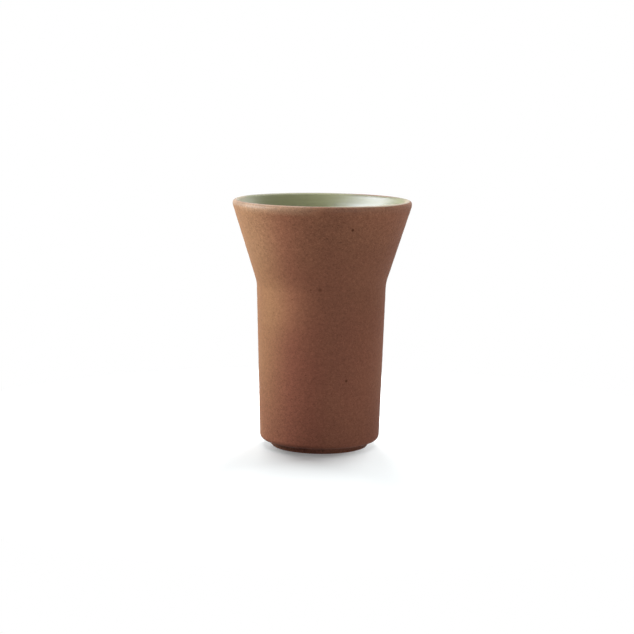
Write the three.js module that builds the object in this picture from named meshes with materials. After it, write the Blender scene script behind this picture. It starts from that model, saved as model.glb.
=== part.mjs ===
// A handleless stoneware cup with a flared mouth: a thrown clay body and the coat of glaze that lines it.
// Millimetres, +Z up. The origin is the centre of the foot, on the table.

import * as THREE from 'three';

// Outside of the clay
const HEIGHT = 123.5; // table to the top of the lip
const RIM_DIAMETER = 88.7; // across the outside of the lip
const WAIST_DIAMETER = 64.4; // where the barrel turns into the flare
const WAIST_HEIGHT = 82.5;
const WAIST_ROUND = 16.5;
const SHOULDER_DIAMETER = 59.8; // low end of the barrel
const SHOULDER_ROUND = 2.6;
const LIP_STRIP_HEIGHT = 0.9; // upright strip between the flare and the round of the lip
const LIP_STRIP_ROUND = 2.8; // where the flare turns up into the strip
const FOOT_DIAMETER = 48.6;
const FOOT_HEIGHT = 3.2;
const FOOT_RING_WIDTH = 5;
const FOOT_EDGE_ROUND = 0.7;
const RECESS_DEPTH = 2.2; // hollow turned out of the foot, inside its ring

// Thickness and inside of the clay
const LIP_THICKNESS = 3.2; // the lip is a full round over this thickness
const WALL_THICKNESS = 3.6; // barrel
const FLOOR_THICKNESS = 4.5; // between the recess and the inside
const FLOOR_ROUND = 9; // inside, where the floor turns up into the wall

// Glaze
const GLAZE_THICKNESS = 0.45;
const GLAZE_LINE_ANGLE = 40; // degrees about the lip's centre, from its top down its inner side

// Fineness of the facets
const TURN_SEGMENTS = 60; // round the cup
const ARC_STEP = 20; // degrees in one step of a rounded corner
const FEWEST_ARC_STEPS = 3;

const rimRadius = RIM_DIAMETER / 2;
const waistRadius = WAIST_DIAMETER / 2;
const shoulderRadius = SHOULDER_DIAMETER / 2;
const footRadius = FOOT_DIAMETER / 2;
const lipRadius = LIP_THICKNESS / 2;
const floorLevel = RECESS_DEPTH + FLOOR_THICKNESS;

// A point of the profile: distance from the axis and height.
const at = (radius, height) => new THREE.Vector2(radius, height);

// Points on a circle about a centre, between two angles in radians, anticlockwise where the second is larger.
function arc(centre, radius, from, to) {
  const sweep = THREE.MathUtils.radToDeg(Math.abs(to - from));
  const steps = Math.max(FEWEST_ARC_STEPS, Math.ceil(sweep / ARC_STEP));
  return Array.from({ length: steps + 1 }, (_, i) => {
    const angle = from + ((to - from) * i) / steps;
    return at(centre.x + radius * Math.cos(angle), centre.y + radius * Math.sin(angle));
  });
}

// The arc that rounds the corner between two straight runs. Its radius shrinks where half of the shorter run
// is too short for it.
function roundedCorner(before, corner, after, radius) {
  const back = before.clone().sub(corner);
  const ahead = after.clone().sub(corner);
  const halfAngle = Math.acos(back.dot(ahead) / (back.length() * ahead.length())) / 2;
  const room = Math.min(back.length(), ahead.length()) / 2;
  const tangent = Math.min(radius / Math.tan(halfAngle), room);
  const fitted = tangent * Math.tan(halfAngle);
  const start = corner.clone().addScaledVector(back.normalize(), tangent);
  const end = corner.clone().addScaledVector(ahead.normalize(), tangent);
  const middle = back.clone().add(ahead).normalize();
  const centre = corner.clone().addScaledVector(middle, Math.hypot(tangent, fitted));
  const from = start.clone().sub(centre).angle();
  let to = end.clone().sub(centre).angle();
  if (to - from > Math.PI) to -= 2 * Math.PI;
  if (to - from < -Math.PI) to += 2 * Math.PI;
  return arc(centre, fitted, from, to);
}

// A path of straight runs whose corners are rounded: a list of [point, radius], where the first and the last
// point, and any with no radius, stay sharp.
function roundedPath(corners) {
  return corners.flatMap(([point, radius], i) =>
    radius ? roundedCorner(corners[i - 1][0], point, corners[i + 1][0], radius) : [point]
  );
}

// The lip is a circle. Outside, it stands on the upright strip. Inside, the flare is the tangent to it from
// the waist, and the angle says where that touches the circle.
const lipCentre = at(rimRadius - lipRadius, HEIGHT - lipRadius);
function tangentAngle(waist) {
  const toLip = lipCentre.clone().sub(waist);
  const lean = Math.atan2(toLip.x, toLip.y) - Math.asin(lipRadius / toLip.length());
  return Math.PI - lean;
}
const onLip = (angle) => arc(lipCentre, lipRadius, angle, angle)[0];

const outerWaist = at(waistRadius, WAIST_HEIGHT);
const innerWaist = at(waistRadius - WALL_THICKNESS, WAIST_HEIGHT);
const innerTouch = tangentAngle(innerWaist);
const lipSide = 0;
const lipTop = Math.PI / 2;
const glazeLine = lipTop + THREE.MathUtils.degToRad(GLAZE_LINE_ANGLE);

// Where the inner wall, carried straight down, meets the floor.
const wallSlope = (waistRadius - shoulderRadius) / (WAIST_HEIGHT - FOOT_HEIGHT);
const floorCorner = at(innerWaist.x - wallSlope * (WAIST_HEIGHT - floorLevel), floorLevel);

// From the axis under the foot, out and up the bare outside, over the lip to the glaze line.
function bareSide() {
  const ringRadius = footRadius - FOOT_RING_WIDTH;
  const sides = roundedPath([
    [at(0, RECESS_DEPTH)],
    [at(ringRadius, RECESS_DEPTH), FOOT_EDGE_ROUND],
    [at(ringRadius, 0), FOOT_EDGE_ROUND],
    [at(footRadius, 0), FOOT_EDGE_ROUND],
    [at(footRadius, FOOT_HEIGHT), FOOT_EDGE_ROUND],
    [at(shoulderRadius, FOOT_HEIGHT), SHOULDER_ROUND],
    [outerWaist, WAIST_ROUND],
    [at(rimRadius, lipCentre.y - LIP_STRIP_HEIGHT), LIP_STRIP_ROUND],
    [onLip(lipSide)],
  ]);
  const overLip = [
    ...arc(lipCentre, lipRadius, lipSide, lipTop).slice(1),
    ...arc(lipCentre, lipRadius, lipTop, glazeLine).slice(1),
  ];
  return [...sides, ...overLip];
}

// From the glaze line down the inside, along the floor to the axis. Clay and glaze meet along this path.
function glazedSide() {
  const sides = roundedPath([
    [onLip(innerTouch)],
    [innerWaist, WAIST_ROUND + WALL_THICKNESS],
    [floorCorner, FLOOR_ROUND],
    [at(0, floorLevel)],
  ]);
  return [...arc(lipCentre, lipRadius, glazeLine, innerTouch).slice(0, -1), ...sides];
}

// The free face of the glaze: the path where it meets the clay, moved into the hollow along its own normals.
// The coat thins to nothing over the lip, so that it ends flush at the glaze line.
function glazeFace(seat) {
  const lipEnd = onLip(innerTouch).y;
  const line = seat[0].y;
  return seat.map((point, i) => {
    const before = seat[Math.max(i - 1, 0)];
    const after = seat[Math.min(i + 1, seat.length - 1)];
    const along = after.clone().sub(before).normalize();
    const share = THREE.MathUtils.clamp((line - point.y) / (line - lipEnd), 0, 1);
    const face = point.clone().addScaledVector(at(along.y, -along.x), share * GLAZE_THICKNESS);
    return i === seat.length - 1 ? at(0, face.y) : face;
  });
}

// A profile turned round the axis, which is Z.
function turned(profile) {
  return new THREE.LatheGeometry(profile, TURN_SEGMENTS).rotateX(Math.PI / 2);
}

// Turns every face of a geometry round.
function flipped(geometry) {
  const corners = geometry.index.array;
  for (let i = 0; i < corners.length; i += 3) {
    [corners[i], corners[i + 1]] = [corners[i + 1], corners[i]];
  }
  return geometry;
}

function stonewareBody() {
  const clay = new THREE.MeshStandardMaterial({ color: 0x8e604a, roughness: 0.75, metalness: 0 });
  const mesh = new THREE.Mesh(turned([...bareSide(), ...glazedSide().slice(1)]), clay);
  mesh.name = 'stoneware_body';
  return mesh;
}

// The profile climbs the free face and comes down the clay, the same way as the body's own profile does, so
// that both have the same triangles where they meet. That turns it inside out, so its faces are flipped.
function glazeLining() {
  const glaze = new THREE.MeshStandardMaterial({ color: 0x94987a, roughness: 0.3, metalness: 0 });
  const seat = glazedSide();
  const face = glazeFace(seat).slice(1).reverse();
  const mesh = new THREE.Mesh(flipped(turned([...face, ...seat])), glaze);
  mesh.name = 'glaze_lining';
  return mesh;
}

const cup = new THREE.Group();
cup.add(stonewareBody(), glazeLining());

export default cup;
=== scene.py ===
"""A handleless stoneware cup, bare clay outside and sage green glaze inside: its finish, light and camera.

Lengths are metres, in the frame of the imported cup: +Z up, the centre of the foot at the origin.
"""

import math

import bpy
import numpy as np
from mathutils import Matrix, Vector


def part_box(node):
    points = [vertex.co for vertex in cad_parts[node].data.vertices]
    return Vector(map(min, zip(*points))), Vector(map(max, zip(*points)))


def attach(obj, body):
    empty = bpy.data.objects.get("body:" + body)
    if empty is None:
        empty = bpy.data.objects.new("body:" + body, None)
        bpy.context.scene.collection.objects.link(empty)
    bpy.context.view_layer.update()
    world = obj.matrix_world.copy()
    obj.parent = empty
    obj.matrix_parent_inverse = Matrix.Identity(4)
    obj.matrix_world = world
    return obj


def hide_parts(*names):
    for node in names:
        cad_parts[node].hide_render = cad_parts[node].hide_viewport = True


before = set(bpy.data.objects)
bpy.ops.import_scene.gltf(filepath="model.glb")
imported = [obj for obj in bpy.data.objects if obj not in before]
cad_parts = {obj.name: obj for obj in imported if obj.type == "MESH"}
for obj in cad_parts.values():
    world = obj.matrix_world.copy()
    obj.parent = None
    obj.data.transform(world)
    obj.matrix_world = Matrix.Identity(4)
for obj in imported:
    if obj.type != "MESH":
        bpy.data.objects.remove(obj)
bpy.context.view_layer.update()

MM = 0.001
FULL_TURN = 2 * math.pi

# Sizes of the clay, of which the height and the rim come from the frame
clay_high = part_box("stoneware_body")[1]
HEIGHT = clay_high.z
RIM_RADIUS = clay_high.x
WAIST_RADIUS = 32.2 * MM
WAIST_HEIGHT = 82.5 * MM
WAIST_ROUND = 16.5 * MM
SHOULDER_RADIUS = 29.9 * MM
SHOULDER_ROUND = 2.6 * MM
FOOT_RADIUS = 24.3 * MM
FOOT_HEIGHT = 3.2 * MM
FOOT_RING_WIDTH = 5 * MM
FOOT_EDGE_ROUND = 0.7 * MM
RECESS_DEPTH = 2.2 * MM
LIP_RADIUS = 1.6 * MM
LIP_STRIP_HEIGHT = 0.9 * MM
LIP_STRIP_ROUND = 4.5 * MM
WALL_THICKNESS = 3.6 * MM
FLOOR_LEVEL = 6.7 * MM
FLOOR_ROUND = 9 * MM

# Lobes of the wall, which isn't quite round: how many round the cup, depth at the rim and start
LOBES = [(2, 0.06 * MM, 0.7), (3, 0.035 * MM, 2.1)]

# Finger marks on the wall: depth, distance from mark to mark, how they climb round the cup, and start. They
# grow to their depth over a stretch above the foot.
FINGER_MARKS = [(0.022 * MM, 7.3 * MM, 1, 0.4), (0.012 * MM, 3.1 * MM, -1, 1.9)]
FINGER_MARKS_GROWTH = 6 * MM

# The spiral that the trimming tool left under the foot, which fades at the middle
TRIMMING_DEPTH = 0.05 * MM
TRIMMING_SPACING = 1.7 * MM
TRIMMING_FADE = 3 * MM

# Sizes of the glaze
GLAZE_THICKNESS = 0.45 * MM
GLAZE_CREST_THICKNESS = 0.09 * MM
GLAZE_GROWTH = 6 * MM
GLAZE_NOSE = 0.3 * MM
GLAZE_POOL = 0.25 * MM
GLAZE_POOL_HEIGHT = 5 * MM
GLAZE_POOL_POWER = 3

# Rings in the glaze, written like the finger marks
GLAZE_RINGS = [(0.020 * MM, 3.7 * MM, 1, 0.3), (0.012 * MM, 2.3 * MM, -2, 1.1)]

# The glaze's edge runs just over the crest of the lip, and in three places it rises or falls from there. Each
# place is a turn from the front, towards the right, a width and a rise towards the inside, all in degrees.
GLAZE_LINE = -8
GLAZE_LINE_HUMPS = [(138, 30, 42), (-45, 34, 48), (48, 44, -34)]

# The edge wavers too: how many times round the cup, degrees up and down, and start
GLAZE_LINE_WAVES = [(5, 2.0, 1.2), (11, 1.2, 0)]

# The front, the camera's side, in degrees from +X
FRONT = -90

# Fineness of the meshes
TURN_STEPS = 300
ARC_STEP = math.radians(9)
LEAST_ARC_STEPS = 4
RUN_STEP = 0.8 * MM
HIDDEN_RUN_STEP = 4 * MM
LIP_ROWS = 26
LIP_ROWS_CROWDING = 1.5
SEAT_ROW_STEP = 6


def arc(centre, radius, start, end):
    """Points on a circle about a centre, from one angle to another, in even steps of at most ARC_STEP."""
    steps = max(LEAST_ARC_STEPS, math.ceil(abs(end - start) / ARC_STEP))
    angle = np.linspace(start, end, steps + 1)
    return np.column_stack([centre[0] + radius * np.cos(angle), centre[1] + radius * np.sin(angle)])


def rounded_corner(before, corner, after, radius):
    """The arc that touches both straight runs of a corner.

    Its centre lies on the line that halves the corner.
    """
    back = (before - corner) / np.linalg.norm(before - corner)
    ahead = (after - corner) / np.linalg.norm(after - corner)
    half = math.acos(np.dot(back, ahead)) / 2
    middle = (back + ahead) / np.linalg.norm(back + ahead)
    centre = corner + middle * radius / math.sin(half)
    start = corner + back * radius / math.tan(half) - centre
    end = corner + ahead * radius / math.tan(half) - centre
    first = math.atan2(start[1], start[0])
    turn = math.remainder(math.atan2(end[1], end[0]) - first, FULL_TURN)
    return arc(centre, radius, first, first + turn)


def filled_runs(points, step):
    """The same path with its straight runs cut into even steps of at most the given length."""
    gaps = np.linalg.norm(np.diff(points, axis=0), axis=1)
    cuts = np.maximum(1, np.ceil(gaps / step)).astype(int)
    runs = [
        np.linspace(a, b, n, endpoint=False)
        for a, b, n in zip(points[:-1], points[1:], cuts)
    ]
    return np.vstack(runs + [points[-1:]])


def rounded_path(corners):
    """A path of straight runs from (radius, height, rounding) corners.

    A corner with no rounding stays sharp.
    """
    places = [np.array(corner[:2]) for corner in corners]
    pieces = []
    for i, (_, _, rounding) in enumerate(corners):
        sharp = places[i][None, :]
        pieces.append(rounded_corner(*places[i - 1 : i + 2], rounding) if rounding else sharp)
    return np.vstack(pieces)


# The lip is a circle. Outside it stands on an upright strip, inside the flare is the tangent to it.
lip_centre = np.array([RIM_RADIUS - LIP_RADIUS, HEIGHT - LIP_RADIUS])
LIP_SIDE = 0.0
LIP_TOP = math.pi / 2


def tangent_angle(waist):
    """The angle on the lip's circle where the inner side, drawn from a waist, touches it."""
    across, up = lip_centre - np.array(waist)
    lean = math.atan2(across, up) - math.asin(LIP_RADIUS / math.hypot(across, up))
    return math.pi - lean


def on_lip(angle):
    """The point of the lip's circle at an angle."""
    return tuple(lip_centre + LIP_RADIUS * np.array([math.cos(angle), math.sin(angle)]))


outer_waist = (WAIST_RADIUS, WAIST_HEIGHT)
inner_waist = (WAIST_RADIUS - WALL_THICKNESS, WAIST_HEIGHT)
inner_touch = tangent_angle(inner_waist)
wall_slope = (WAIST_RADIUS - SHOULDER_RADIUS) / (WAIST_HEIGHT - FOOT_HEIGHT)
floor_corner = (inner_waist[0] - wall_slope * (WAIST_HEIGHT - FLOOR_LEVEL), FLOOR_LEVEL)
ring_radius = FOOT_RADIUS - FOOT_RING_WIDTH


def outer_profile():
    """Radius and height from the axis under the foot, out and up the outside, to the top of the lip."""
    sides = rounded_path([
        (0, RECESS_DEPTH, 0),
        (ring_radius, RECESS_DEPTH, FOOT_EDGE_ROUND),
        (ring_radius, 0, FOOT_EDGE_ROUND),
        (FOOT_RADIUS, 0, FOOT_EDGE_ROUND),
        (FOOT_RADIUS, FOOT_HEIGHT, FOOT_EDGE_ROUND),
        (SHOULDER_RADIUS, FOOT_HEIGHT, SHOULDER_ROUND),
        (*outer_waist, WAIST_ROUND),
        (RIM_RADIUS, lip_centre[1] - LIP_STRIP_HEIGHT, LIP_STRIP_ROUND),
        (*on_lip(LIP_SIDE), 0),
    ])
    lip = arc(lip_centre, LIP_RADIUS, LIP_SIDE, LIP_TOP)
    return np.vstack([sides, lip[1:]])


def inner_sides():
    """Radius and height from the foot of the lip's rounding down the inside and along the floor."""
    return rounded_path([
        (*on_lip(inner_touch), 0),
        (*inner_waist, WAIST_ROUND + WALL_THICKNESS),
        (*floor_corner, FLOOR_ROUND),
        (0, FLOOR_LEVEL, 0),
    ])


def inner_profile():
    """Radius and height from the top of the lip over its inner rounding and down the inside to the axis."""
    lip = arc(lip_centre, LIP_RADIUS, LIP_TOP, inner_touch)
    return np.vstack([lip[:-1], filled_runs(inner_sides(), HIDDEN_RUN_STEP)])


def normals_of(profile):
    """Unit normals to the right of the way a profile runs, which is away from the clay on its profile."""
    along = np.gradient(profile, axis=0)
    steps = np.diff(profile, axis=0)
    along[0] = steps[0]
    along[-1] = steps[-1]
    along = along / np.linalg.norm(along, axis=1)[:, None]
    return np.column_stack([along[:, 1], -along[:, 0]])


def turned_mesh(name, radius, height, values=None):
    """A closed surface of rows round the Z axis.

    radius and height are arrays of (row, step round the axis): x = radius cos(turn), y = radius sin(turn),
    z = height. The first and the last row are single points on the axis. values holds named numbers for
    each point of the same grid, which go to the mesh as attributes.
    """
    rows, steps = radius.shape
    turn = np.arange(steps) * FULL_TURN / steps
    grid = np.stack([radius * np.cos(turn), radius * np.sin(turn), height], axis=2)
    ends = np.array([[0, 0, height[0].mean()], [0, 0, height[-1].mean()]])
    points = np.vstack([grid[1:-1].reshape(-1, 3), ends])
    bands = rows - 3
    ring = np.arange(steps)
    onward = np.roll(ring, -1)
    first = np.arange(bands)[:, None] * steps + ring
    second = np.arange(bands)[:, None] * steps + onward
    quads = np.stack([first, second, second + steps, first + steps], axis=2).reshape(-1, 4)
    top = bands * steps
    low_end = np.full(steps, len(points) - 2)
    high_end = np.full(steps, len(points) - 1)
    low_fan = np.column_stack([low_end, onward, ring])
    high_fan = np.column_stack([top + ring, top + onward, high_end])
    corners = np.concatenate([quads.ravel(), low_fan.ravel(), high_fan.ravel()])
    sizes = np.concatenate([np.full(len(quads), 4), np.full(2 * steps, 3)])
    mesh = bpy.data.meshes.new(name)
    mesh.vertices.add(len(points))
    mesh.vertices.foreach_set("co", points.astype(np.float32).ravel())
    mesh.loops.add(len(corners))
    mesh.loops.foreach_set("vertex_index", corners.astype(np.int32))
    mesh.polygons.add(len(sizes))
    mesh.polygons.foreach_set("loop_start", (np.cumsum(sizes) - sizes).astype(np.int32))
    mesh.polygons.foreach_set("use_smooth", np.ones(len(sizes), bool))
    mesh.update(calc_edges=True)
    mesh.validate()
    for label, numbers in (values or {}).items():
        at_ends = [numbers[0].mean(), numbers[-1].mean()]
        attribute = mesh.attributes.new(label, "FLOAT", "POINT")
        attribute.data.foreach_set("value", np.append(numbers[1:-1].ravel(), at_ends).astype(np.float32))
    piece = bpy.data.objects.new(name, mesh)
    bpy.context.scene.collection.objects.link(piece)
    return piece


def turns():
    """The steps round the axis, as angles from +X."""
    return np.arange(TURN_STEPS) * FULL_TURN / TURN_STEPS


def ripples(marks, height, turn):
    """Waves that climb as they go round, as a finger's marks do on a turning wheel: a sum of sines."""
    return sum(
        depth * np.sin(FULL_TURN * height / spacing + climb * turn + start)
        for depth, spacing, climb, start in marks
    )


def out_of_round(radius, height, turn):
    """How far the wall stands out from a true circle: lobes that grow with height, and less near the axis."""
    lobes = sum(depth * np.cos(count * turn + start) for count, depth, start in LOBES)
    return lobes * (height / HEIGHT) ** 2 * np.clip(radius / SHOULDER_RADIUS, 0, 1)


def clay_body():
    """The thrown clay: its outer profile, then its inner one, hidden by the glaze, turned round the axis.

    On the wall each point is moved along the profile's normal by the finger marks, and under the foot by a
    spiral, a sine of the radius less the turn. The radius also has the lobes.
    """
    outside = filled_runs(outer_profile(), RUN_STEP)
    inside = inner_profile()[1:]
    profile = np.vstack([outside, inside])
    normal = normals_of(profile)
    turn = turns()
    base_radius = profile[:, 0][:, None]
    base_height = profile[:, 1][:, None]
    is_outside = (np.arange(len(profile)) < len(outside))[:, None]
    on_wall = np.clip((base_height - FOOT_HEIGHT) / FINGER_MARKS_GROWTH, 0, 1) * is_outside
    in_recess = is_outside * (base_radius < ring_radius) * (base_height > RECESS_DEPTH / 2)
    spiral = TRIMMING_DEPTH * np.sin(FULL_TURN * base_radius / TRIMMING_SPACING - turn)
    trimming = spiral * np.clip(base_radius / TRIMMING_FADE, 0, 1)
    lift = ripples(FINGER_MARKS, base_height, turn) * on_wall + trimming * in_recess
    radius = base_radius + normal[:, :1] * lift + out_of_round(base_radius, base_height, turn)
    height = base_height + normal[:, 1:] * lift
    return turned_mesh("stoneware_body_fine", np.maximum(radius, 0), height)


def glaze_line(turn):
    """Angle of the glaze's edge on the lip's circle at each turn: an even line, three bells and waves."""
    from_front = np.degrees(turn) - FRONT
    line = np.full_like(turn, GLAZE_LINE)
    for place, width, rise in GLAZE_LINE_HUMPS:
        away = (from_front - place + 180) % 360 - 180
        line = line + rise * np.exp(-((away / width) ** 2))
    waver = sum(swing * np.cos(count * turn + start) for count, swing, start in GLAZE_LINE_WAVES)
    return LIP_TOP + np.radians(line + waver)


def glaze_seat(turn):
    """The clay under the glaze, row by row from the glaze's edge to the axis.

    Gives radius, height, both parts of the normal into the clay, and the way along the clay from the edge.
    """
    line = glaze_line(turn)
    share = np.linspace(0, 1, LIP_ROWS)[:, None] ** LIP_ROWS_CROWDING
    angle = line + (inner_touch - line) * share[:-1]
    wall = filled_runs(inner_sides(), RUN_STEP)
    wall_normal = -normals_of(wall)

    def rows(along_lip, down_wall):
        """Rows on the lip, then rows on the wall, which are the same at every turn."""
        return np.vstack([along_lip, np.repeat(down_wall[:, None], TURN_STEPS, axis=1)])

    radius = rows(lip_centre[0] + LIP_RADIUS * np.cos(angle), wall[:, 0])
    height = rows(lip_centre[1] + LIP_RADIUS * np.sin(angle), wall[:, 1])
    normal_radius = rows(-np.cos(angle), wall_normal[:, 0])
    normal_height = rows(-np.sin(angle), wall_normal[:, 1])
    gap = np.hypot(np.diff(radius, axis=0), np.diff(height, axis=0))
    below_edge = np.vstack([np.zeros(TURN_STEPS), np.cumsum(gap, axis=0)])
    return radius, height, normal_radius, normal_height, below_edge


def glaze_thickness(radius, height, below_edge, turn):
    """Thickness of the glaze at places of its seat.

    The coat has an ellipse's quarter for a nose at its edge, grows along an S-curve down the flare, is
    faintly ringed on the wall, and is thicker by a bell of the height where it pooled at the wall's foot.
    """
    near = np.clip(below_edge / GLAZE_NOSE, 0, 1)
    nose = np.sqrt(near * (2 - near))
    down = np.clip(below_edge / GLAZE_GROWTH, 0, 1)
    grown = down * down * (3 - 2 * down)
    full = GLAZE_THICKNESS + ripples(GLAZE_RINGS, height, turn)
    coat = nose * (GLAZE_CREST_THICKNESS + (full - GLAZE_CREST_THICKNESS) * grown)
    low = np.exp(-(((height - FLOOR_LEVEL) / GLAZE_POOL_HEIGHT) ** 2))
    return coat + GLAZE_POOL * low * np.clip(radius / floor_corner[0], 0, 1) ** GLAZE_POOL_POWER


def glaze_lining():
    """The coat of glaze: its seat on the clay, and the same moved off the clay by the coat's thickness."""
    turn = turns()
    base_radius, base_height, normal_radius, normal_height, below_edge = glaze_seat(turn)
    thickness = glaze_thickness(base_radius, base_height, below_edge, turn)
    radius = base_radius + out_of_round(base_radius, base_height, turn)
    face_radius = radius - normal_radius * thickness
    face_height = base_height - normal_height * thickness
    face_radius[-1] = 0
    seat = slice(1, None, SEAT_ROW_STEP)
    radius_rows = np.vstack([face_radius[::-1], radius[seat], radius[-1:]])
    height_rows = np.vstack([face_height[::-1], base_height[seat], base_height[-1:]])
    edge_rows = np.vstack([below_edge[::-1], below_edge[seat], below_edge[-1:]])
    return turned_mesh("glaze_lining_fine", radius_rows, height_rows, {"below_edge": edge_rows})


class Socket:
    """An output socket of a node tree. Arithmetic on it adds Math nodes, and node() adds any other node."""

    def __init__(self, tree, output=None):
        self.tree = tree
        self.output = output

    def node(self, kind, settings=None, inputs=None, output=0):
        """Adds a node: its own settings first, then its sockets' values or links."""
        made = self.tree.nodes.new("ShaderNode" + kind)
        for name, value in (settings or {}).items():
            setattr(made, name, value)
        for name, value in (inputs or {}).items():
            if isinstance(value, Socket):
                self.tree.links.new(value.output, made.inputs[name])
            else:
                made.inputs[name].default_value = value
        return Socket(self.tree, made.outputs[output])

    def math(self, operation, *values):
        """Adds a Math node."""
        return self.node("Math", {"operation": operation}, dict(enumerate(values)))

    def vector(self, operation, other, output=0):
        """Adds a Vector Math node on this vector and another value."""
        return self.node("VectorMath", {"operation": operation}, {0: self, 1: other}, output)

    def __add__(self, other):
        return self.math("ADD", self, other)

    def __sub__(self, other):
        return self.math("SUBTRACT", self, other)

    def __rsub__(self, other):
        return self.math("SUBTRACT", other, self)

    def __mul__(self, other):
        return self.math("MULTIPLY", self, other)

    def __truediv__(self, other):
        return self.math("DIVIDE", self, other)

    __radd__ = __add__

    def most(self, other):
        """The larger of two values."""
        return self.math("MAXIMUM", self, other)

    def step(self, start, end):
        """0 before start, 1 past end, and an even S-curve between them; start may be the larger."""
        ranges = {"Value": self, "From Min": start, "From Max": end}
        return self.node("MapRange", {"interpolation_type": "SMOOTHSTEP"}, ranges)

    def mixed(self, first, second):
        """A colour between two colours, by this value."""
        inputs = {"Factor": self, 6: first, 7: second}
        return self.node("Mix", {"data_type": "RGBA"}, inputs, output=2)

    def dimmed(self, share):
        """A colour times a value."""
        return self.node("VectorMath", {"operation": "SCALE"}, {0: self, "Scale": share})

    def scaled(self, scale):
        """A vector stretched along its three axes."""
        return self.vector("MULTIPLY", scale)

    def level(self):
        """A place's offset from the Z axis."""
        return self.scaled((1, 1, 0))

    def distance_to(self, point):
        """How far this place is from a fixed point."""
        return self.vector("DISTANCE", point, "Value")

    def towards(self, direction, start, full):
        """1 where this place, seen from the axis, lies in a level direction, and 0 on the other sides.

        start and full are the cosines of the angle to that direction where it begins and where it is 1.
        """
        unit = self.node("VectorMath", {"operation": "NORMALIZE"}, {0: self.level()})
        return unit.vector("DOT_PRODUCT", direction, "Value").step(start, full)

    def noise(self, size, detail=2.0, roughness=0.5):
        """Soft noise round 0 with features of about the given size, in this vector's units."""
        inputs = {"Vector": self, "Scale": 1 / size, "Detail": detail, "Roughness": roughness}
        return self.node("TexNoise", None, inputs) - 0.5

    def grains(self, size):
        """Cells of about the given size.

        Gives the distance from a cell's seed, and a number from 0 to 1 that each cell has for itself.
        """
        inputs = {"Vector": self, "Scale": 1 / size}
        away = self.node("TexVoronoi", None, inputs, output="Distance") * size
        tint = self.node("TexVoronoi", None, inputs, output="Color")
        return away, self.node("SeparateColor", None, {0: tint})


def colour(red, green, blue):
    """A colour written as on a screen, from 0 to 255, as the linear numbers that shaders take."""
    screen = np.array([red, green, blue]) / 255
    linear = np.where(screen <= 0.04045, screen / 12.92, ((screen + 0.055) / 1.055) ** 2.4)
    return (*linear.tolist(), 1.0)


def new_finish(name):
    """An empty material, and a Socket to add nodes with."""
    material = bpy.data.materials.new(name)
    material.use_nodes = True
    material.node_tree.nodes.clear()
    return material, Socket(material.node_tree)


def millimetres(start):
    """Object coordinates in millimetres."""
    place = start.node("TexCoord", output="Object")
    return place.scaled((1 / MM, 1 / MM, 1 / MM))


def put_on(material, surface):
    """Makes a shader the material's surface."""
    output = material.node_tree.nodes.new("ShaderNodeOutputMaterial")
    material.node_tree.links.new(surface.output, output.inputs["Surface"])
    return material


# Colours of the clay
CLAY_RED = colour(144, 90, 72)
CLAY_BROWN = colour(146, 107, 77)
# The lip's pale colour, mixed in mostly as a painted sheen
PALE_LIP_AND_SHEEN = colour(184, 150, 120)
IRON = colour(86, 46, 24)

# Sides of the cup: a level direction from the axis, then the cosines where the side begins and is full
# The left side, where the clay is browner, the crest darker with more coat, and the upper flare has a painted
# sheen
WARM_LEFT_SIDE = ((-0.97, -0.26, 0), 0.62, 1.0)
BLUSH_SIDE = ((-0.42, -0.91, 0), 0.82, 0.98)
# The right side, where painted light brightens the upper flare and the lip is a little paler
PALE_SIDE = ((0.95, -0.3, 0), 0.3, 0.9)
# The lip's front left, where its paler colour is a painted sheen and its coat is thicker
WORN_AND_SHEEN_SIDE = ((-0.59, -0.81, 0), 0.8, 0.98)
LEFT_END = (-0.99, 0.12, 0)
# The left end, where the crest has a painted sheen and more coat
PALE_END = (LEFT_END, 0.8, 0.98)

# Heights, and radii at the foot, in millimetres, where a part of the clay's finish begins and is full
TOP = HEIGHT / MM
FOOT_SHADE_HEIGHTS = (5, 2.5)
FOOT_SHADE_RADII = (21, 24)
LOW_SHADE_HEIGHTS = (5, 50)
UPPER_HEIGHTS = (98, 120)
BLUSH_HEIGHTS = (100, 70)
WARM_LEFT_HEIGHTS = (-30, 50)
LEFT_FLARE_SHEEN_HEIGHTS = (85, 105)
BROWNING_HEIGHTS = (5, 115)
COARSE_HEIGHTS = (85, 115)
LIP_HEIGHTS = (TOP - 5.4, TOP - 2.16)
CREST_HEIGHTS = (TOP - 3.0, TOP - 1.05)

# How light the clay is, and how much lighter or darker in parts: painted shade on the foot's side and low on
# the wall, and painted light on the flare's right side
CLAY_TONE = 0.9
# Painted shade on the foot's side
FOOT_PAINTED_SHADE = 0.33
# Painted shade low on the wall, as the clay is this much lighter higher up
LOW_PAINTED_SHADE = 0.11
# Painted light on the flare's right side
UPPER_RIGHT_PAINTED_LIGHT = 0.2
BLUSH_DARKER = 0.03
WARM_LEFT_CREST_DARKER = 0.25
DRIFT_TONE = 0.08

# How brown the clay is, from red to brown, and how much browner or redder in parts
CLAY_BROWNING = 0.07
TOP_BROWNER = 0.27
WARM_LEFT_BROWNER = 0.65
BLUSH_REDDER = 0.1
DRIFT_BROWNING = 0.4

# How far the clay turns to the lip's pale colour, mostly a painted sheen: on the lip's front left, along the
# crest, at its left end and on the upper left flare
LIP_PAINTED_SHEEN = 0.45
RIGHT_LIP_PALE = 0.06
# A painted highlight along the crest, and a painted sheen at its left end
CREST_PAINTED_HIGHLIGHT = 0.1
CREST_END_PAINTED_SHEEN = 0.45
# A painted sheen on the upper left flare
LEFT_FLARE_PAINTED_SHEEN = 0.12

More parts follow.
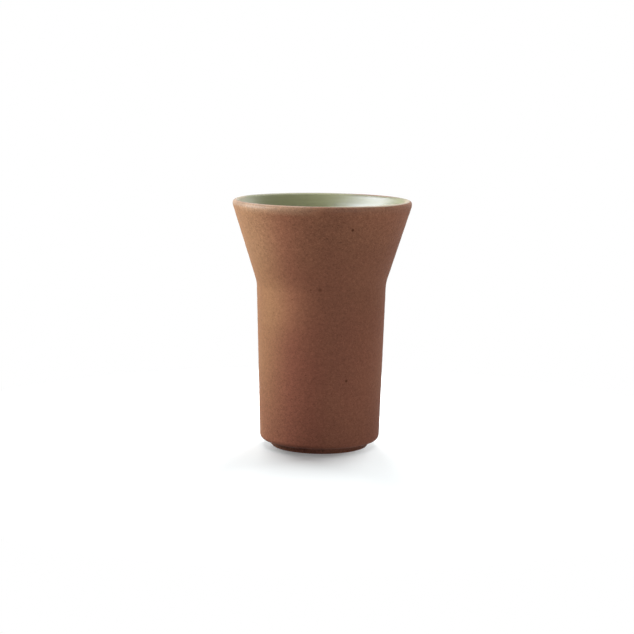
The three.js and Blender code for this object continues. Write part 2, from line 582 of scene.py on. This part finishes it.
# Soft paler places: turn from the front, towards the right, in degrees, then height, reach, and how much
# paler and browner the clay is there
PALE_PLACES = [
    (-35, 73, 21, 0.20, 0.26),
    (-32, 109, 18, 0.12, 0.00),
    (24, 20, 28, 0.10, 0.06),
    (-80, 8, 14, 0.15, 0.30),
    (80, 42, 34, 0.12, 0.15),
    (-3, 122, 9, 0.15, 0.06),
]

# Texture of the clay: sizes in millimetres, what each adds to the tone, and its relief
DRIFT_SIZE = 34
MOTTLE_SIZE = 1.5
MOTTLE_DETAIL = 3
MOTTLE_ROUGHNESS = 0.6
MOTTLE_TONE = 0.55
MOTTLE_RELIEF = 0.7
SAND_SIZE = 0.55
SAND_EDGE = (0.75 * SAND_SIZE, 0.2 * SAND_SIZE)
SAND_TONE = 0.5
SAND_RELIEF = 0.6
COARSER = 0.4
SPECK_RELIEF = 0.8
CLAY_BUMP = 0.5
CLAY_BUMP_HEIGHT = 0.12 * MM

# Gloss of the clay, which has a thin sheen on the lip
CLAY_ROUGHNESS = 0.66
SAND_ROUGHER = 0.12
SPECK_SMOOTHER = 0.15
CLAY_SPECULAR = 0.1
LIP_COAT = 0.08
CREST_COAT = 0.22
WORN_COAT = 0.3
WARM_LEFT_COAT = 0.35
END_COAT = 0.3
COAT_ROUGHNESS = 0.45

# Fine iron specks sown over the clay: how far apart, where one ends and is full, which cells have one, depth
FINE_SPECK_SPACING = 3.4
FINE_SPECK_EDGE = (0.34, 0.12)
FINE_SPECK_CHOICE = (0.52, 0.58)
FINE_SPECK_DEPTH = 0.55

# Ragged edges of all iron specks, and the share of a listed speck's size that is full
SPECK_RAGGED_SIZE = 0.4
SPECK_RAGGED = 0.5
SPECK_CORE = 0.35

# Iron specks that stand out: turn from the front, towards the right, in degrees, then height, size and depth
IRON_SPECKS = [
    (20.6, 112.2, 1.00, 0.92),
    (-1, 82.4, 1.25, 0.50),
    (24.4, 37.4, 1.00, 0.78),
    (14, 115.9, 0.45, 0.60),
    (-53, 102.9, 0.52, 0.70),
    (-26, 77.2, 0.50, 0.60),
    (-46, 69.8, 0.48, 0.60),
    (-18, 93.3, 0.45, 0.50),
    (16, 89.7, 0.45, 0.50),
    (-13, 40.4, 0.46, 0.60),
    (-11, 23.6, 0.45, 0.50),
    (-9, 82.4, 0.60, 0.40),
    (96, 61.0, 0.80, 0.80),
    (139, 98.5, 0.85, 0.75),
    (171, 44.0, 0.90, 0.80),
    (-162, 108.0, 0.60, 0.60),
    (-128, 29.0, 0.75, 0.70),
    (-101, 86.0, 0.65, 0.60),
]

# The outside from a hair above the foot, in millimetres, to find a radius from a height
HAIR = 0.01
outside_wall = outer_profile() / MM
outside_wall = outside_wall[outside_wall[:, 1] > FOOT_HEIGHT / MM + HAIR]


def on_outside(turn, height):
    """The point of the outside, in millimetres, at a turn from the front in degrees and a height."""
    radius = np.interp(height, outside_wall[:, 1], outside_wall[:, 0])
    around = math.radians(turn)
    return radius * math.sin(around), -radius * math.cos(around), height


def iron_specks(place):
    """Up to 1 on the iron specks: ragged spots at the listed places, and finer ones sown among them."""
    ragged = place.noise(SPECK_RAGGED_SIZE) * SPECK_RAGGED
    away, pick = place.grains(FINE_SPECK_SPACING)
    chosen = pick.step(*FINE_SPECK_CHOICE)
    specks = (away + ragged).step(*FINE_SPECK_EDGE) * chosen * FINE_SPECK_DEPTH
    for turn, height, size, depth in IRON_SPECKS:
        away = place.distance_to(on_outside(turn, height)) + ragged * size
        specks = specks.most(away.step(size, SPECK_CORE * size) * depth)
    return specks


def bare_stoneware():
    """Matt sandy clay, redder low down and browner above and on its left side.

    Mottle, grains, iron specks and soft paler places lie over that. Painted shade darkens the foot's side and
    the wall low down, and painted light brightens the flare's right side. The lip is smoother, with a painted
    sheen on its front left, along its crest and at its left end; the upper left flare has a painted sheen
    too.
    smoother, and paler where it is worn and at its left end.
    """
    material, start = new_finish("bare_stoneware")
    place = millimetres(start)
    height = place.node("SeparateXYZ", None, {0: place}, output="Z")
    from_axis = place.level().distance_to((0, 0, 0))
    drift = place.noise(DRIFT_SIZE)
    mottle = place.noise(MOTTLE_SIZE, MOTTLE_DETAIL, MOTTLE_ROUGHNESS)
    away, pick = place.grains(SAND_SIZE)
    sand = (pick - 0.5) * away.step(*SAND_EDGE)
    grain = (mottle * MOTTLE_TONE + sand * SAND_TONE) * (1.0 + height.step(*COARSE_HEIGHTS) * COARSER)
    specks = iron_specks(place)

    # Painted shade: the foot's side is darker, as in the shade under the wall
    painted_foot_shade = height.step(*FOOT_SHADE_HEIGHTS) * from_axis.step(*FOOT_SHADE_RADII)
    right = place.towards(*PALE_SIDE)
    blush = place.towards(*BLUSH_SIDE) * height.step(*BLUSH_HEIGHTS)
    warm_left = place.towards(*WARM_LEFT_SIDE) * height.step(*WARM_LEFT_HEIGHTS)
    worn_and_sheen = place.towards(*WORN_AND_SHEEN_SIDE)
    end = place.towards(*PALE_END)
    lip = height.step(*LIP_HEIGHTS)
    crest = height.step(*CREST_HEIGHTS)

    # Painted shade on the foot's side and low on the wall
    tone = CLAY_TONE - painted_foot_shade * FOOT_PAINTED_SHADE + height.step(*LOW_SHADE_HEIGHTS) * LOW_PAINTED_SHADE
    # Painted light on the flare's right side
    tone = tone + height.step(*UPPER_HEIGHTS) * right * UPPER_RIGHT_PAINTED_LIGHT
    tone = tone + drift * DRIFT_TONE + grain - blush * BLUSH_DARKER - crest * warm_left * WARM_LEFT_CREST_DARKER
    browning = CLAY_BROWNING + height.step(*BROWNING_HEIGHTS) * TOP_BROWNER + warm_left * WARM_LEFT_BROWNER
    browning = browning + drift * DRIFT_BROWNING - blush * BLUSH_REDDER
    for turn, up, reach, paler, browner in PALE_PLACES:
        near = place.distance_to(on_outside(turn, up)).step(reach, 0)
        tone = tone + near * paler
        browning = browning + near * browner
    # The lip's pale colour: a painted sheen on its front left, along its crest, at its left end and on the
    # upper left flare
    pale_and_sheen = lip * (worn_and_sheen * LIP_PAINTED_SHEEN + right * RIGHT_LIP_PALE)
    pale_and_sheen = pale_and_sheen + crest * (CREST_PAINTED_HIGHLIGHT + end * CREST_END_PAINTED_SHEEN)
    pale_and_sheen = pale_and_sheen + warm_left * height.step(*LEFT_FLARE_SHEEN_HEIGHTS) * LEFT_FLARE_PAINTED_SHEEN
    base = pale_and_sheen.mixed(browning.mixed(CLAY_RED, CLAY_BROWN), PALE_LIP_AND_SHEEN).dimmed(tone)

    relief = sand * SAND_RELIEF + mottle * MOTTLE_RELIEF - specks * SPECK_RELIEF
    bumps = {"Strength": CLAY_BUMP, "Distance": CLAY_BUMP_HEIGHT, "Height": relief}
    crest_coat = CREST_COAT + worn_and_sheen * WORN_COAT + warm_left * WARM_LEFT_COAT + end * END_COAT
    shader = place.node("BsdfPrincipled", None, {
        "Base Color": specks.mixed(base, IRON),
        "Roughness": CLAY_ROUGHNESS + sand * SAND_ROUGHER - specks * SPECK_SMOOTHER,
        "Specular IOR Level": CLAY_SPECULAR,
        "Coat Weight": lip * LIP_COAT + crest * crest_coat,
        "Coat Roughness": COAT_ROUGHNESS,
        "Normal": place.node("Bump", None, bumps),
    })
    return put_on(material, shader)


# Colours of the glaze, and the sides where its thin edge is cream, which is partly a painted highlight
GLAZE_DEEP = colour(149, 151, 108)
GLAZE_PALE = colour(170, 173, 131)
GLAZE_THIN = colour(124, 118, 92)
GLAZE_CREAM_AND_HIGHLIGHT = colour(206, 182, 154)
CREAM_SIDE = ((0.77, -0.64, 0), 0.45, 0.85)
CREAM_END = (LEFT_END, 0.93, 0.985)

# Streaks, drawn out round the cup, and clouds of the glaze: sizes in millimetres, and their share in the tone
STREAK_STRETCH = (0.05, 0.05, 1)
STREAK_SIZE = 1.1
STREAK_DETAIL = 4
STREAK_ROUGHNESS = 0.6
STREAK_TONE = 1.1
CLOUD_SIZE = 14
CLOUD_TONE = 0.5
MIDDLE_TONE = 0.5

# Where the glaze is thin: how far from its edge, in millimetres, which shares of that, and how much it shows
THIN_REACH = 2.0
THIN_REACH_CREAM = 4.0
THIN_REACH_END = 2.0
THIN_SHARES = (1.0, 0.05)
THIN_SHOWN = 0.75

# Gloss of the glaze
GLAZE_ROUGHNESS = 0.42
STREAK_ROUGHER = 0.12
GLAZE_IOR = 1.58
GLAZE_BUMP = 0.12
GLAZE_BUMP_HEIGHT = 0.05 * MM


def green_glaze():
    """Satin sage glaze with streaks drawn out round the cup, and a line where it thins at its edge.

    The line is cream at the right of the front and at the left end, a colour that is partly a painted
    highlight, and brown elsewhere.
    """
    material, start = new_finish("green_glaze")
    place = millimetres(start)
    below_edge = place.node("Attribute", {"attribute_name": "below_edge"}, output="Fac") / MM
    streak = place.scaled(STREAK_STRETCH).noise(STREAK_SIZE, STREAK_DETAIL, STREAK_ROUGHNESS)
    tone = MIDDLE_TONE + streak * STREAK_TONE + place.noise(CLOUD_SIZE) * CLOUD_TONE
    # The cream edge is partly a painted highlight
    cream_and_highlight = place.towards(*CREAM_SIDE)
    cream_and_highlight_end = place.towards(*CREAM_END)
    reach = THIN_REACH + cream_and_highlight * THIN_REACH_CREAM + cream_and_highlight_end * THIN_REACH_END
    thin = ((below_edge + streak) / reach).step(*THIN_SHARES) * THIN_SHOWN
    edge = cream_and_highlight.most(cream_and_highlight_end).mixed(GLAZE_THIN, GLAZE_CREAM_AND_HIGHLIGHT)
    bumps = {"Strength": GLAZE_BUMP, "Distance": GLAZE_BUMP_HEIGHT, "Height": streak}
    shader = place.node("BsdfPrincipled", None, {
        "Base Color": thin.mixed(tone.mixed(GLAZE_DEEP, GLAZE_PALE), edge),
        "Roughness": GLAZE_ROUGHNESS + streak * STREAK_ROUGHER,
        "IOR": GLAZE_IOR,
        "Normal": place.node("Bump", None, bumps),
    })
    return put_on(material, shader)


body = clay_body()
body.data.materials.append(bare_stoneware())
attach(body, "root")
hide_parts("stoneware_body")

lining = glaze_lining()
lining.data.materials.append(green_glaze())
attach(lining, "root")
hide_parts("glaze_lining")

# What a lamp may light alone
cup_only = bpy.data.collections.new("cup_only")
cup_only.objects.link(body)
cup_only.objects.link(lining)
glaze_only = bpy.data.collections.new("glaze_only")
glaze_only.objects.link(lining)
floor_only = bpy.data.collections.new("floor_only")

# The floor: how pale it is for the light it throws back, and how it shows to the camera
FLOOR_REACH = 2.0
FLOOR_GAP = 0.02 * MM
FLOOR_HOLE = FOOT_RADIUS - FOOT_EDGE_ROUND
FLOOR_HOLE_EDGE = (FLOOR_HOLE, 0.98 * FLOOR_HOLE)
FLOOR_ALBEDO = 0.35
FLOOR_SHOWN = (0.965, 1.01, 1.02)
FLOOR_GLOW = 0.184
FLOOR_FADE = (0.14, 0.26)

# Light, where a lamp's brightness counts in units of 4 watts for a square metre of the lamp
WHITE = (1, 1, 1, 1)
WORLD_FILL = 0.15
COOL = (0.66, 0.7, 1.0)
WARM = (1.0, 0.99, 0.95)
BRIGHTNESS_UNIT = 4


def rays(start, *kinds):
    """1 for rays of any of these kinds and 0 for the rest."""
    first, *others = [start.node("LightPath", output=f"Is {kind} Ray") for kind in kinds]
    for other in others:
        first = first.most(other)
    return first


def white_floor():
    """A pale floor with a faint glow, which shows as white outside the cup's shadow.

    Far off, and where something shiny mirrors it, it is plain white. From below, and under the foot, it is
    clear.
    """
    material, start = new_finish("white_floor")
    away = start.node("TexCoord", output="Object").distance_to((0, 0, 0))
    mirrored = rays(start, "Glossy", "Transmission")
    white = start.node("Emission", None, {"Color": WHITE, "Strength": 1.0})
    matt = start.node("BsdfDiffuse", None, {"Color": (FLOOR_ALBEDO,) * 3 + (1,)})
    near = start.node("BsdfDiffuse", None, {"Color": FLOOR_SHOWN + (1,)})
    plain = (FLOOR_GLOW + away.step(*FLOOR_FADE)).most(mirrored)
    shown = start.node("MixShader", None, {0: plain, 1: near, 2: white})
    seen = rays(start, "Camera").most(mirrored)
    above = start.node("MixShader", None, {0: seen, 1: matt, 2: shown})
    under = start.node("NewGeometry", output="Backfacing").most(away.step(*FLOOR_HOLE_EDGE))
    clear = start.node("BsdfTransparent")
    return put_on(material, start.node("MixShader", None, {0: under, 1: above, 2: clear}))


def floor():
    """A square under the cup, wide enough to fill every view."""
    corners = np.array([(-1, -1), (1, -1), (1, 1), (-1, 1)]) * FLOOR_REACH
    points = np.column_stack([corners, np.full(len(corners), -FLOOR_GAP)])
    mesh = bpy.data.meshes.new("floor")
    mesh.from_pydata(points.tolist(), [], [(0, 1, 2, 3)])
    ground = bpy.data.objects.new("floor", mesh)
    bpy.context.scene.collection.objects.link(ground)
    ground.data.materials.append(white_floor())
    floor_only.objects.link(ground)


def softbox(name, place, size, brightness, tint=(1, 1, 1), only_gloss=False, lights=None):
    """A soft lamp at a place, of a width and a height, facing the cup's middle; -Y is the camera's side.

    One that is only gloss shows in shiny surfaces and adds no other light. One that lights a collection
    leaves everything else to the other lamps.
    """
    width, height = size
    away = Vector(place) - Vector((0, 0, HEIGHT / 2))
    lamp = bpy.data.lights.new(name, "AREA")
    lamp.shape = "RECTANGLE"
    lamp.size = width
    lamp.size_y = height
    lamp.energy = BRIGHTNESS_UNIT * brightness * width * height
    lamp.color = tint
    stand = bpy.data.objects.new(name, lamp)
    stand.location = place
    stand.rotation_euler = away.to_track_quat("Z", "Y").to_euler()
    stand.visible_diffuse = not only_gloss
    stand.visible_camera = False
    if lights:
        stand.light_linking.receiver_collection = lights
    bpy.context.scene.collection.objects.link(stand)


def surroundings():
    """A white room: it lights the cup at the fill's level and shows as plain white."""
    world = bpy.data.worlds.new("white_room")
    world.use_nodes = True
    world.node_tree.nodes.clear()
    start = Socket(world.node_tree)
    fill = start.node("Background", None, {"Color": WHITE, "Strength": WORLD_FILL})
    white = start.node("Background", None, {"Color": WHITE, "Strength": 1.0})
    shown = rays(start, "Camera", "Glossy", "Transmission")
    both = start.node("MixShader", None, {0: shown, 1: fill, 2: white})
    output = world.node_tree.nodes.new("ShaderNodeOutputWorld")
    world.node_tree.links.new(both.output, output.inputs["Surface"])
    bpy.context.scene.world = world


# The camera stands in front of the cup and looks a little down on it.
PHOTO_SIDE = 634
CAMERA_DISTANCE = 0.900
CAMERA_HEIGHT = 0.1962
CAMERA_PITCH = 0.1451
CAMERA_PAN = -0.00218
CAMERA_ROLL = 0.0125
FOCAL_PIXELS = 1818.6
SENSOR = 36.0


def camera():
    """A camera turned by pan about Z, then by pitch down, then by roll about its own line of sight."""
    right = Vector((math.cos(CAMERA_PAN), -math.sin(CAMERA_PAN), 0))
    ahead = Vector((math.sin(CAMERA_PAN), math.cos(CAMERA_PAN), 0))
    sight = ahead * math.cos(CAMERA_PITCH) - Vector((0, 0, math.sin(CAMERA_PITCH)))
    upward = ahead * math.sin(CAMERA_PITCH) + Vector((0, 0, math.cos(CAMERA_PITCH)))
    side = right * math.cos(CAMERA_ROLL) + upward * math.sin(CAMERA_ROLL)
    top = upward * math.cos(CAMERA_ROLL) - right * math.sin(CAMERA_ROLL)
    lens = bpy.data.cameras.new("camera")
    lens.sensor_width = SENSOR
    lens.lens = FOCAL_PIXELS * SENSOR / PHOTO_SIDE
    viewer = bpy.data.objects.new("camera", lens)
    turned = Matrix((side, top, -sight)).transposed().to_4x4()
    viewer.matrix_world = Matrix.Translation((0, -CAMERA_DISTANCE, CAMERA_HEIGHT)) @ turned
    bpy.context.scene.collection.objects.link(viewer)
    bpy.context.scene.camera = viewer


floor()
surroundings()
softbox("key", (-0.26, -0.02, 0.165), (0.2, 0.2), 5.9, WARM, lights=cup_only)
softbox("overhead", (0.0, 0.32, 0.85), (0.9, 0.9), 2.1)
softbox("front_card", (0.30, -0.46, 0.03), (0.4, 0.1), 4.5, lights=cup_only)
softbox("back_left", (-0.32, 0.76, 0.173), (0.7, 0.1), 71.6, lights=floor_only)
softbox("back_right", (0.51, 0.64, 0.173), (0.84, 0.1), 62.4, lights=floor_only)
softbox("sheen", (-0.49, -0.15, 0.30), (0.9, 0.25), 12.5, COOL, only_gloss=True, lights=glaze_only)
softbox("far_sheen", (0.45, 0.40, 0.22), (0.4, 0.3), 1.8, only_gloss=True, lights=glaze_only)
camera()
bpy.context.scene.view_settings.view_transform = "Standard"
